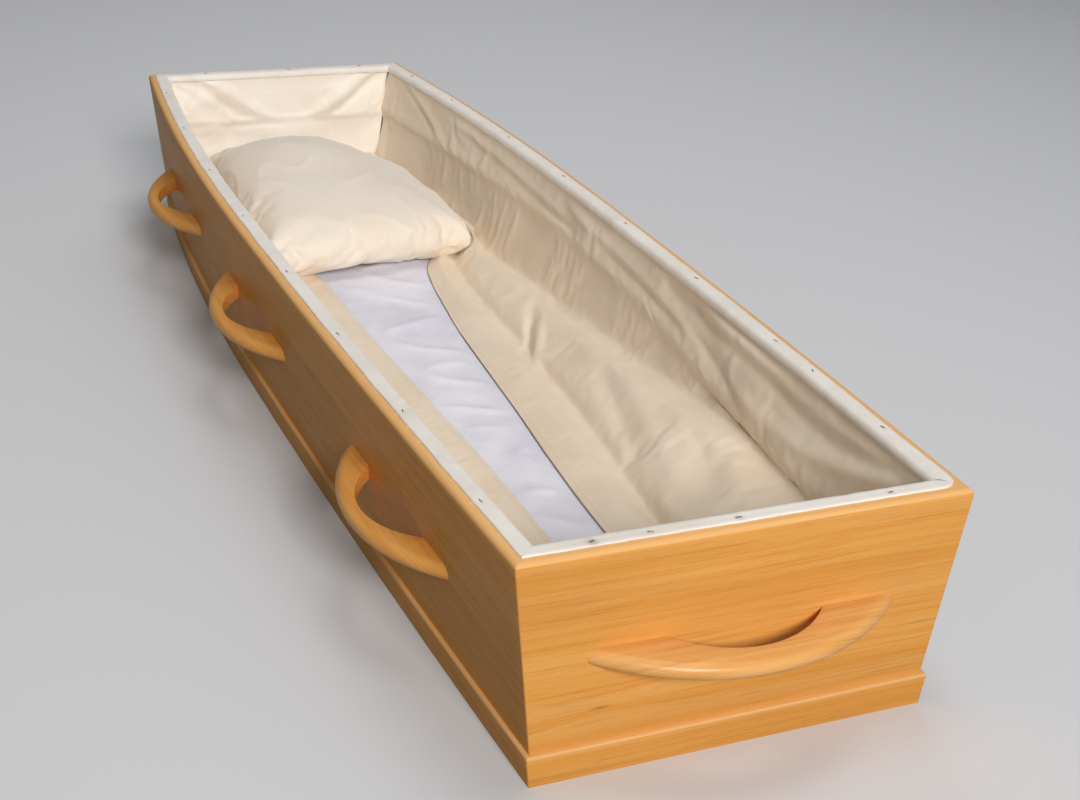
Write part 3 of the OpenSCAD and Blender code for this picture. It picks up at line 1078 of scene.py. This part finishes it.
def side_lining(word, side):
    """A lining cloth: hung from the rim, seamed, and spread over the mattress to its hem."""
    ob, down, along = cloth_grid(f"{word}_lining_cloth", 60, 250)
    down = 1 - down
    lay(ob, down, along, side_rows(side))
    face_towards(ob, (0, 0, 0.5))
    band = BAND_Z if side == RIGHT else LEFT_BAND_Z
    co = points_of(ob)
    level = line(co[:, 1], SIDE_Y, band)
    set_points(ob, clear_of_hard(draped(ob, side, level), side=side))
    co = points_of(ob)
    z = co[:, 2]
    grip = strongest(
        0.05, ease(*HELD_Z, z), 0.25 * np.exp(-((z - level) / 0.006) ** 2),
        0.30 * ease(0.095, 0.080, z), 0.8 * ease(0.88, 0.95, down),
        ease(0.985, 1.0, np.abs(along - 0.5) * 2),
    )
    relax(ob, grip, frames=20, grow=0.008, cap=0.004)
    set_points(ob, clear_of_hard(points_of(ob), side=side))
    refine(ob)
    co = points_of(ob)
    normal = normals_of(ob)
    level = line(co[:, 1], SIDE_Y, band)
    pucker = puckered(co, level, co[:, 1], 61.0 + side, 0.015, 0.006, 0.0021)
    co = crumple(co + normal * pucker[:, None], normal, 3.0 if side == RIGHT else 17.0, 0.0007)
    set_points(ob, clear_of_hard(co, side=side))
    return soften(ob)


def end_rows(end):
    """The rows of an end lining: an upper band that stands proud, and the wall below its seam."""

    def rows(down, along):
        s = sizes()
        z = blend(s.mattress_top + 0.003, TOP_Z, 1 - down)[:, None]
        upper = ease(0.2725, 0.235, z)
        lower = ease(END_SEAM_Z - 0.006, END_SEAM_Z, z)
        step = END_GAP + END_PUFF * np.where(z > END_SEAM_Z, upper, lower)
        y = end * (s.length / 2 - end_in(z) - step)
        far = half_w(y) - side_in(z) - 0.035
        return table_of(blend(-far, far, along), y, z)

    return rows


def end_lining(word, end):
    """The lining of one end, with its upper band gathered at the corners."""
    ob, down, along = cloth_grid(f"{word}_lining_cloth", 30, 64)
    down = 1 - down
    lay(ob, down, along, end_rows(end))
    face_towards(ob, (0, 0, 0.3))
    co = points_of(ob)
    z = co[:, 2]
    grip = strongest(
        0.02, ease(*HELD_Z, z), 0.5 * np.exp(-((z - END_SEAM_Z) / 0.005) ** 2),
        ease(0.97, 1.0, np.abs(along - 0.5) * 2), ease(0.080, 0.074, z) * 0.6,
    )
    relax(ob, grip, frames=24, grow=0.012, cap=0.005)
    set_points(ob, clear_of_hard(points_of(ob), end=end))
    refine(ob)
    co = points_of(ob)
    normal = normals_of(ob)
    upper = ease(0.186, 0.196, co[:, 2])
    reach = float(half_w(end * 0.965)) - 0.035
    lift = np.zeros(len(co))
    for corner in (-1, 1):
        dx = reach - corner * co[:, 0]
        lift += 0.0020 * fanned(dx, TOP_Z + 0.002 - co[:, 2], 0.11, 8, corner * 1.3)
    lift = lift * (0.06 + 0.94 * upper)
    lift += folds_on(co[:, 2], co[:, 0], CORNER_FOLDS, 0.012) * upper
    lift += puckered(co, END_SEAM_Z, co[:, 0], 71.0 + end, 0.014, 0.005, 0.0010)
    co = crumple(co + normal * lift[:, None], normal, 31.0 + end, 0.0006)
    set_points(ob, clear_of_hard(co, end=end))
    return soften(ob)


STRIP_RISE = 0.0021
# The strip's section: how far in from its outer edge, and how high over the rim.
STRIP_LINE = (
    (0.0005, 0.0001), (0.0000, 0.0012), (0.0022, 0.0019), (0.0100, STRIP_RISE), (0.0180, 0.0020),
    (0.0220, 0.0004), (0.0243, -0.0040), (0.0240, -0.0090), (0.0215, -0.0118), (0.0170, -0.0110),
)


def rim_strip(name, side, end, bare):
    """The white cloth strip along one length of the rim, rolled over the board's inner edge.
    Bare is how far from one corner it is cut back."""
    s = sizes()
    long = end is None
    ob, down, along = cloth_grid(name, 22, 420 if long else 130)
    knots = np.array(STRIP_LINE)[:, None, :]

    def rows(downs, alongs):
        across, rise = flow(knots, downs)[:, 0].T[:, :, None]
        inset = s.strip_inset + across
        reach = s.length / 2 - inset
        if long:
            y = blend(-reach, reach, alongs)
            x = side * (half_w(y) - inset)
        else:
            y = end * reach
            wide = half_w(y) - inset
            x = blend(-wide, wide, alongs)
        return table_of(x, y, s.height + rise)

    lay(ob, down, along, rows)
    face_towards(ob, (0, 0, 2))
    co = points_of(ob)
    run = co[:, 1] if long else co[:, 0]
    seed = 3.7 * (side or 0) + 11.3 * (end or 0)
    coarse = noise_along(run, 14, seed)
    fine = noise_along(run, 110, seed + 3)
    edge = ease(0.30, 0.0, down)
    push = edge * (0.0012 * coarse + 0.0007 * fine)
    if long:
        from_corner = co[:, 1] + s.length / 2 - s.strip_inset
    else:
        from_corner = half_w(co[:, 1]) - s.strip_inset - co[:, 0]
    near = np.clip(1 - from_corner / max(bare, 1e-6), 0, 1) * (bare > 0)
    cut = edge * bare * 0.45 * near ** 2
    mitre = np.abs(along - 0.5) * 2 > 0.995
    push = np.where(mitre, 0, push) + cut
    slide = cut * near ** 4
    if long:
        co[:, 0] -= side * push
        co[:, 1] += slide
    else:
        co[:, 1] -= end * push
        co[:, 0] -= slide
    set_points(ob, co)
    for word, at, _ in STAPLES:
        (x, y), _ = staple_place(word, at)
        away = np.hypot(co[:, 0] - x, co[:, 1] - y)
        co[:, 2] -= 0.0009 * np.exp(-((away / 0.0055) ** 2)) * (co[:, 2] > s.height)
    normal = normals_of(ob)
    mid = np.sin(np.pi * np.clip(down, 0, 1))
    puff = noise_at(co, (60, 60, 60), seed + 7) * 0.0006 + noise_at(co, (22, 22, 22), seed) * 0.0007
    set_points(ob, co + normal * (puff * mid)[:, None])
    return soften(ob)


def repeated(name, master, places):
    """One mesh made of copies of a small master piece at many places."""
    co = points_of(master)
    faces = [list(p.vertices) for p in master.data.polygons]
    points = np.concatenate([carried(co, matrix) for matrix in places])
    starts = range(0, len(points), len(co))
    polygons = [[start + v for v in face] for start in starts for face in faces]
    data = bpy.data.meshes.new(name)
    data.from_pydata(points.tolist(), [], polygons)
    ob = bpy.data.objects.new(name, data)
    bpy.context.scene.collection.objects.link(ob)
    bpy.data.objects.remove(master)
    tidy_mesh(ob, 1e-7)
    smooth(ob, 50)
    return ob


def frame_at(place, ahead, up):
    """A matrix that stands a piece at a place, its X ahead and its Z up."""
    x = Vector(ahead).normalized()
    y = Vector(up).cross(x).normalized()
    z = x.cross(y)
    return Matrix.Translation(place) @ Matrix((x, y, z)).transposed().to_4x4()


def thin_rod(sides, radius, length, middle, cuts):
    """A thin rod along X, cut into even stretches."""
    fresh()
    bpy.ops.mesh.primitive_cylinder_add(
        vertices=sides, radius=radius, depth=length, location=(middle, 0, 0),
        rotation=(0, math.pi / 2, 0),
    )
    ob = bpy.context.object
    bpy.ops.object.transform_apply(location=True, rotation=True, scale=True)
    cut_edges(ob, X, 0.7 * length, cuts)
    return ob


STITCH_L = 0.0034
STITCH_PITCH = 0.0052
STITCH_IN = 0.0095


def stitch_master():
    """One stitch: a short thread that dips into the cloth at both ends."""
    ob = thin_rod(6, 0.00042, STITCH_L, 0, 3)
    co = points_of(ob)
    share = np.abs(co[:, 0]) / (STITCH_L / 2)
    co[:, 1:] *= (1 - 0.45 * share[:, None] ** 3)
    co[:, 2] -= 0.0005 * share ** 2
    set_points(ob, co)
    return ob


def hem_stitches(name, cloth_piece, side, start, stop):
    """A row of stitches a little inside a flap's hem."""
    hem = HEM_X if side == RIGHT else LEFT_HEM_X

    def seam_x(y):
        return side * (float(line(np.array([y]), SIDE_Y, hem)[0]) + STITCH_IN)

    places = []
    y = start
    while y < stop:
        x = seam_x(y)
        hit, spot, normal, _ = cloth_piece.ray_cast((x, y, 0.25), (0, 0, -1))
        if hit and spot.z < 0.11:
            ahead = (seam_x(y + 0.01) - x, 0.01, 0)
            places.append(frame_at(spot + normal * 0.00025, ahead, normal))
        y += STITCH_PITCH
    return repeated(name, stitch_master(), places)


# Each staple: its strip, its place along it and how far it is turned.
STAPLES = (
    ("foot", -0.189, 0.4), ("foot", -0.120, -0.2), ("foot", -0.013, 0.1), ("foot", 0.183, 0.3),
    ("head", -0.150, 0.2), ("head", 0.020, -0.3), ("head", 0.170, 0.1),
    ("right", -0.829, 0.2), ("right", -0.654, -0.3), ("right", -0.552, 0.1),
    ("right", -0.310, 0.3), ("right", -0.060, -0.1), ("right", 0.190, 0.2),
    ("right", 0.430, -0.2), ("right", 0.690, 0.1), ("right", 0.880, 0.3),
    ("left", -0.860, 0.1), ("left", -0.620, -0.2), ("left", -0.370, 0.2),
    ("left", -0.130, 0.1), ("left", 0.120, -0.3), ("left", 0.360, 0.2),
    ("left", 0.610, 0.1), ("left", 0.850, -0.1),
)


STAPLE_IN = 0.009
CROWN_HALF = 0.0038


def staple_place(word, along):
    """Where a staple stands on the strip, and the way that the strip runs there."""
    s = sizes()
    inset = s.strip_inset + STAPLE_IN
    if word in SIDES:
        side = SIDES[word]
        slope = float(half_w(along + 0.01) - half_w(along - 0.01)) / 0.02
        return (side * (float(half_w(along)) - inset), along), (side * slope, 1)
    return (along, ENDS[word] * (s.length / 2 - inset)), (1, 0)


def staple_master():
    """A wire staple: a flat crown with both legs bent down."""
    ob = sized_cube("staple", (0.0105, 0.0013, 0.0007))
    cut_edges(ob, X, 0.01, 7)
    co = points_of(ob)
    past = np.maximum(np.abs(co[:, 0]) - CROWN_HALF, 0)
    co[:, 0] = np.sign(co[:, 0]) * (np.minimum(np.abs(co[:, 0]), CROWN_HALF) + past * 0.45)
    co[:, 2] -= past * 1.6
    set_points(ob, co)
    choose_edges(ob, lambda e: abs(e.calc_face_angle(0)) > 1.2)
    bpy.ops.mesh.bevel(offset=0.00018, segments=1, affect="EDGES")
    bpy.ops.object.mode_set(mode="OBJECT")
    return ob


def staples():
    """The staples that hold the strips."""
    s = sizes()
    places = []
    for word, along, turn in STAPLES:
        (x, y), (ax, ay) = staple_place(word, along)
        ahead = Vector((ax, ay, 0)).normalized()
        ahead.rotate(Matrix.Rotation(turn, 3, "Z"))
        places.append(frame_at((x, y, s.height + STRIP_RISE), ahead, (0, 0, 1)))
    return repeated("rim_staples", staple_master(), places)


THREAD_L = 0.007
THREADS = 150


def thread_master():
    """A loose thread from a frayed edge."""
    ob = thin_rod(4, 0.00022, THREAD_L, THREAD_L / 2, 4)
    co = points_of(ob)
    share = co[:, 0] / THREAD_L
    co[:, 1] += 0.0016 * share ** 2
    co[:, 1:] *= 1 - 0.4 * share[:, None]
    set_points(ob, co)
    return ob


def loose_threads():
    """Threads that stand out of the strips' outer edges."""
    s = sizes()
    edge = s.strip_inset + 0.0015
    level = s.height + 0.0009
    places = []

    def stand(x, y, ahead, shape):
        places.append(frame_at((x, y, level), ahead, (0, 0, 1)) @ Matrix.Diagonal(shape))

    for k in range(THREADS):
        jitter = noise.noise((k * 7.31, 0.5, 2.2))
        reach = 0.62 + 0.5 * abs(noise.noise((k * 3.17, 9.1, 0.3)))
        shape = (reach, 1 if k % 2 else -1, 1, 1)
        for side in (LEFT, RIGHT):
            y = -0.96 + 1.92 * (k + 0.8 * jitter * side) / (THREADS - 1)
            if abs(y) > 0.965 or (k * 5 + side) % 3:
                continue
            ahead = (side, 2.2 * noise.noise((k * 1.9, side, 4.0)), -0.05)
            stand(side * (float(half_w(y)) - edge), y, ahead, shape)
        if k % 5:
            continue
        for end in (FOOT, HEAD):
            x = -0.24 + 0.48 * (k + 2 * jitter) / (THREADS - 1)
            ahead = (2.2 * noise.noise((k * 2.3, end, 6.0)), end, -0.05)
            stand(x, end * (s.length / 2 - edge), ahead, shape)
    return repeated("rim_threads", thread_master(), places)


def mattress_block():
    """The mattress: a rounded slab cut to the outline between the linings."""
    s = sizes()
    low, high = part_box("mattress")
    deep = high.z - low.z
    ob = sized_cube("mattress_pad", (1, 1, deep), (0, 0, (low.z + high.z) / 2))
    for axis, least, cuts in ((Y, 0.5, 79), (X, 0.5, 19), (Z, 0.04, 5)):
        cut_edges(ob, axis, least, cuts)
    co = points_of(ob)
    z = co[:, 2]
    height = (z - low.z) / deep
    inset = 0.034 + 0.008 * np.abs(2 * height - 1) ** 4
    y = co[:, 1] * 2 * (s.length / 2 - end_in(z) - inset)
    reach = half_w(y) - side_in(z) - inset
    x = co[:, 0] * 2 * reach
    edge = np.maximum(np.abs(co[:, 0] * 2), np.abs(co[:, 1] * 2) ** 12)
    z = np.where(height > 0.9, z - 0.004 * ease(0.90, 1.0, edge), z)
    set_points(ob, np.stack([x, y, z], 1))
    tidy_mesh(ob)
    return soften(ob)


def sheet_cloth():
    """The sheet, laid over the mattress in soft waves."""
    s = sizes()
    ob, down, along = cloth_grid("sheet_cloth", 96, 330)

    def rows(downs, alongs):
        far = s.length / 2 - 0.042
        y = blend(-far, far, alongs)
        reach = half_w(y) - side_in(s.mattress_top) - 0.044
        return table_of(blend(-reach, reach, downs[:, None]), y, s.mattress_top + 0.0012)

    lay(ob, down, along, rows)
    face_towards(ob, (0, 0, 2))
    co = points_of(ob)
    slant = np.stack([co[:, 0], co[:, 1] + co[:, 0] * 0.35, co[:, 2]], 1)
    wave = noise_at(slant, (3.2, 11, 1), 2.0)
    fold = 1 - np.abs(noise_at(slant, (4.5, 8, 1), 8.0)) * 4
    fine = noise_at(slant, (12, 30, 1), 5.0)
    lift = 0.0028 * wave + 0.0046 * np.maximum(fold, 0) ** 2 + 0.0006 * fine
    right_hem = line(co[:, 1], SIDE_Y, HEM_X)
    left_hem = line(co[:, 1], SIDE_Y, LEFT_HEM_X)
    bare = ease(0.0, 0.03, right_hem - 0.004 - co[:, 0])
    bare = bare * ease(0.0, 0.03, co[:, 0] + left_hem - 0.004)
    co[:, 2] += np.clip(lift + 0.0008, 0, 0.0065) * bare
    set_points(ob, co)
    return soften(ob)


PILLOW_CORNERS = ((-0.212, 0.318), (0.216, 0.362), (0.190, 0.835), (-0.210, 0.885))
# Corners where the cover is gathered: place, phase and height of the creases.
PILLOW_GATHERS = (
    (-0.20, 0.34, 0.6, 0.0048), (0.20, 0.37, 2.1, 0.0036), (-0.20, 0.84, 1.1, 0.0030),
)


def pillow_form():
    """A plump, slack pillow that leans on the left wall and droops to the right."""
    s = sizes()
    ob = sized_cube("pillow_cushion", (2, 2, 2))
    for axis, cuts in ((X, 39), (Y, 47), (Z, 5)):
        cut_edges(ob, axis, 1.5, cuts)
    co = points_of(ob)
    a, b, c = co[:, 0], co[:, 1], co[:, 2]
    rounding = 0.36
    a2 = a * np.sqrt(1 - rounding * b * b / 2) * (1 + 0.03 * b * b)
    b2 = b * np.sqrt(1 - rounding * a * a / 2) * (1 + 0.03 * a * a)
    front_left, front_right, back_right, back_left = np.array(PILLOW_CORNERS)
    across = (a2[:, None] + 1) / 2
    forth = (b2[:, None] + 1) / 2
    front = blend(front_left, front_right, across)
    flat = blend(front, blend(back_left, back_right, across), forth)
    dome = np.maximum((1 - np.abs(a) ** 2.6) * (1 - np.abs(b) ** 3.0), 0) ** 0.50
    crest = np.exp(-(((a + 0.20) / 0.75) ** 2) - ((b - 0.28) / 0.55) ** 2)
    droop = (1 - 0.26 * ease(0.0, 1.0, a)) * (1 - 0.30 * ease(0.35, 1.0, b))
    thick = 0.018 + dome * (0.086 + 0.042 * crest) * droop
    rest = s.mattress_top + 0.006
    lean = 0.022 * ease(-0.1, -1.0, a) * ease(-1.1, 0.2, b)
    rise = 0.016 * (1 - dome) + lean
    z = rest + rise + thick * (c + 1) / 2
    set_points(ob, np.stack([flat[:, 0], flat[:, 1], z], 1))
    tidy_mesh(ob)
    return ob


def pillow():
    """The pillow: puffed up as cloth, then dented and creased."""
    s = sizes()
    ob = pillow_form()
    remesh = ob.modifiers.new("even", "REMESH")
    remesh.mode = "VOXEL"
    remesh.voxel_size = 0.0065
    only(ob)
    bpy.ops.object.modifier_apply(modifier=remesh.name)
    co = points_of(ob)
    grip = 0.4 * ease(s.mattress_top + 0.014, s.mattress_top + 0.008, co[:, 2])
    relax(ob, grip, frames=20, grow=0.03, pressure=7.0, cap=0.026, bend=0.4, tension=15.0)
    refine(ob)
    co = points_of(ob)
    normal = normals_of(ob)
    dent = np.exp(-(((co[:, 0] - 0.03) / 0.12) ** 2 + ((co[:, 1] - 0.72) / 0.10) ** 2))
    upper = ease(0.12, 0.16, co[:, 2])
    co[:, 2] -= 0.010 * dent * upper
    broad = noise_at(co, (8, 8, 8), 12.0)
    ridge = 1 - np.abs(noise_at(co, (13, 9, 13), 21.0)) * 4
    fine = noise_at(co, (40, 34, 40), 3.0)
    lift = 0.0034 * broad + 0.0018 * np.maximum(ridge, 0) ** 2 + 0.0005 * fine
    for px, py, phase, height in PILLOW_GATHERS:
        side_on = co[:, 0] - px if px < 0 else px - co[:, 0]
        lift += height * fanned(side_on, co[:, 1] - py, 0.13, 9, phase)
    co = co + normal * lift[:, None]
    wall = half_w(co[:, 1]) - side_in(co[:, 2]) - 0.043
    co[:, 0] = np.clip(co[:, 0], -wall, wall)
    co[:, 1] = np.minimum(co[:, 1], s.length / 2 - 0.046)
    co[:, 2] = np.maximum(co[:, 2], s.mattress_top + 0.0035)
    set_points(ob, co)
    return soften(ob)


HEM_ROWS = {"left": (-0.955, 0.33), "right": (-0.955, 0.37)}


class COFFIN_OT_lining(bpy.types.Operator):
    """Lining cloths on the walls"""

    bl_idname = "coffin.lining"
    bl_label = "Lining"

    def execute(self, context):
        c = colours()
        # Painted shade: the side linings' cotton is darker and warmer than the ends' copy of the
        # same cloth.
        cotton = cloth("side_cotton_painted_shade", c.cream, screen(226, 205, 178), rough=0.50, sheen=0.2,
                       creases=0.5)
        yarn = cloth("stitch_yarn", screen(226, 208, 182), screen(196, 172, 140), rough=0.7)
        for word, side in SIDES.items():
            ob = side_lining(word, side)
            dress(ob, cotton, "lining", f"{word}_lining")
            row = hem_stitches(f"{word}_hem_stitches", ob, side, *HEM_ROWS[word])
            dress(row, yarn, "lining")
        # Painted light: the end linings get a paler copy of the same cotton, for the light on the
        # end walls.
        pale = cloth("end_cotton_painted_light", screen(250, 242, 230), screen(240, 226, 208), rough=0.50,
                     sheen=0.2, creases=0.5)
        for word, end in ENDS.items():
            ob = end_lining(word, end)
            dress(ob, pale, "lining", f"{word}_lining")
        return {"FINISHED"}


STRIP_FLAT = {
    "left": (0.0415, 1.97), "right": (0.0415, 1.97), "foot": (0.0425, 0.51), "head": (0.0415, 0.475)
}
STRIP_CUT_BACK = 0.022
# Stains round the staples at the foot: place, size and strength.
RUST_MARKS = (
    ((-0.189, -0.9785), 0.0062, 0.50), ((-0.013, -0.978), 0.0050, 0.35),
    ((-0.120, -0.978), 0.0034, 0.30), ((0.183, -0.978), 0.0040, 0.30),
)


class COFFIN_OT_rim(bpy.types.Operator):
    """White cloth strips on the rim"""

    bl_idname = "coffin.rim"
    bl_label = "Rim strips"

    def execute(self, context):
        white = cloth("strip_cotton", colours().strip, screen(226, 214, 198), rough=0.7,
                      sheen=0.2, marks=RUST_MARKS)
        for word, flat in STRIP_FLAT.items():
            bare = STRIP_CUT_BACK if word in ("right", "foot") else 0.0
            ob = rim_strip(f"{word}_rim_strip", SIDES.get(word), ENDS.get(word), bare)
            dress(ob, white, "edge_strip", f"{word}_edge_strip")
        steel = Finish("staple_steel", Metallic=1.0)
        x, y, z = steel.place()
        rust = steel.span(steel.cloud(steel.vector(x, y, z), 240.0, 3.0), 0.42, 0.62)
        tone = steel.mix(rust * 0.7, screen(172, 168, 160), screen(110, 74, 46))
        steel.drive("Base Color", tone)
        steel.drive("Roughness", rust * 0.35 + 0.35)
        steel.bump(rust, 0.00005, 0.5)
        dress(staples(), steel.material, "tack")
        dress(loose_threads(), white, "edge_strip")
        return {"FINISHED"}


class COFFIN_OT_bedding(bpy.types.Operator):
    """Mattress, sheet and pillow"""

    bl_idname = "coffin.bedding"
    bl_label = "Bedding"

    def execute(self, context):
        c = colours()
        linen = cloth("sheet_cotton", c.sheet, screen(206, 206, 222), rough=0.75, sheen=0.15)
        cover = cloth("pillow_cotton", c.pillow, screen(236, 220, 198), rough=0.62, sheen=0.25,
                      creases=0.5)
        pad = dress(mattress_block(), linen, "sheet", "mattress")
        laid = dress(sheet_cloth(), linen, "sheet", "sheet")
        cushion = dress(pillow(), cover, "pillow", "pillow")
        return {"FINISHED"}


# --- stage -----------------------------------------------------------------------------------


FLOOR_LIT = (0.16, 0.16, 0.165)
FLOOR_SEEN = (0.74, 0.75, 0.77)
WORLD_LIT = (0.17, 0.175, 0.18, 1)
WORLD_SEEN = (0.80, 0.81, 0.83, 1)
# Each lamp: name, place, target, size, power, colour and spread in degrees.
LAMPS = (
    ("key", (-0.9, -8.0, 4.3), (0.0, 0.0, 0.15), 2.2, 141, (1.0, 0.97, 0.94), 90),
    ("top", (0.5, -0.2, 4.2), (0.0, 0.0, 0.1), 1.8, 37, (0.97, 0.98, 1.0), 180),
    ("back", (1.4, 3.2, 3.2), (0.0, 0.2, 0.15), 2.2, 22, (1.0, 0.98, 0.96), 180),
)
CAMERA_PLACE = (-0.8955, -2.3925, 1.1803)
CAMERA_RIGHT = (0.92026534, -0.38766765, 0.05315541)
CAMERA_UP = (0.11930755, 0.40736825, 0.90543736)
CAMERA_AHEAD = (0.37266261, 0.82690078, -0.42113856)
CAMERA_LENS = 57.396


class COFFIN_OT_stage(bpy.types.Operator):
    """Floor, lamps, world and camera"""

    bl_idname = "coffin.stage"
    bl_label = "Stage"

    def execute(self, context):
        self.floor(context)
        for lamp in LAMPS:
            self.lamp(*lamp)
        self.world(context.scene)
        context.scene.view_settings.view_transform = "Standard"
        self.camera(context.scene)
        return {"FINISHED"}

    def floor(self, context):
        """A floor that is pale to the camera and darker to the light it throws back."""
        fresh()
        bpy.ops.mesh.primitive_plane_add(size=60, location=(0, 0, 0))
        floor = context.object
        floor.name = "floor"
        f = Finish("floor_paint", Roughness=0.85)
        path = f.tree.nodes.new("ShaderNodeLightPath")
        seen = Wire(f, path.outputs["Is Camera Ray"])
        glossy = Wire(f, path.outputs["Is Glossy Ray"])
        through = Wire(f, path.outputs["Is Transmission Ray"])
        pale = f.maths("MINIMUM", seen + glossy + through, 1.0)
        f.drive("Base Color", f.mix(pale, FLOOR_LIT, FLOOR_SEEN))
        floor.data.materials.append(f.material)

    def lamp(self, name, place, target, size, power, colour, spread):
        fresh()
        bpy.ops.object.light_add(type="AREA", location=place)
        ob = bpy.context.object
        ob.name = name
        ob.data.size = size
        ob.data.energy = power
        ob.data.color = colour
        ob.data.spread = math.radians(spread)
        direction = Vector(target) - Vector(place)
        ob.rotation_euler = direction.to_track_quat("-Z", "Y").to_euler()

    def world(self, scene):
        """An even world that is pale to the camera."""
        scene.world = bpy.data.worlds.new("studio")
        scene.world.use_nodes = True
        tree = scene.world.node_tree
        path = tree.nodes.new("ShaderNodeLightPath")
        mix = tree.nodes.new("ShaderNodeMix")
        mix.data_type = "RGBA"
        tree.links.new(path.outputs["Is Camera Ray"], mix.inputs[0])
        mix.inputs[6].default_value = WORLD_LIT
        mix.inputs[7].default_value = WORLD_SEEN
        tree.links.new(mix.outputs[2], tree.nodes["Background"].inputs["Color"])

    def camera(self, scene):
        data = bpy.data.cameras.new("view")
        ob = bpy.data.objects.new("view", data)
        scene.collection.objects.link(ob)
        turn = Matrix((CAMERA_RIGHT, CAMERA_UP, -Vector(CAMERA_AHEAD))).transposed()
        ob.matrix_world = Matrix.Translation(CAMERA_PLACE) @ turn.to_4x4()
        data.lens = CAMERA_LENS
        data.sensor_width = 36
        data.clip_end = 200
        scene.camera = ob


OPERATORS = (
    COFFIN_OT_stage, COFFIN_OT_panels, COFFIN_OT_handles, COFFIN_OT_lining, COFFIN_OT_rim,
    COFFIN_OT_bedding,
)


class COFFIN_PT_panel(bpy.types.Panel):
    """Lists the coffin's operators"""

    bl_label = "Coffin"
    bl_idname = "COFFIN_PT_panel"
    bl_space_type = "VIEW_3D"
    bl_region_type = "UI"
    bl_category = "Coffin"

    def draw(self, context):
        for operator in OPERATORS:
            self.layout.operator(operator.bl_idname)


CLASSES = (CoffinSizes, CoffinColours, *OPERATORS, COFFIN_PT_panel)


def register():
    for cls in CLASSES:
        bpy.utils.register_class(cls)
    bpy.types.Scene.coffin_sizes = bpy.props.PointerProperty(type=CoffinSizes)
    bpy.types.Scene.coffin_colours = bpy.props.PointerProperty(type=CoffinColours)


def unregister():
    del bpy.types.Scene.coffin_sizes
    del bpy.types.Scene.coffin_colours
    for cls in reversed(CLASSES):
        bpy.utils.unregister_class(cls)


def main():
    register()
    bpy.ops.coffin.stage()
    bpy.ops.coffin.panels()
    bpy.ops.coffin.handles()
    bpy.ops.coffin.lining()
    bpy.ops.coffin.rim()
    bpy.ops.coffin.bedding()


if __name__ == "__main__":
    main()
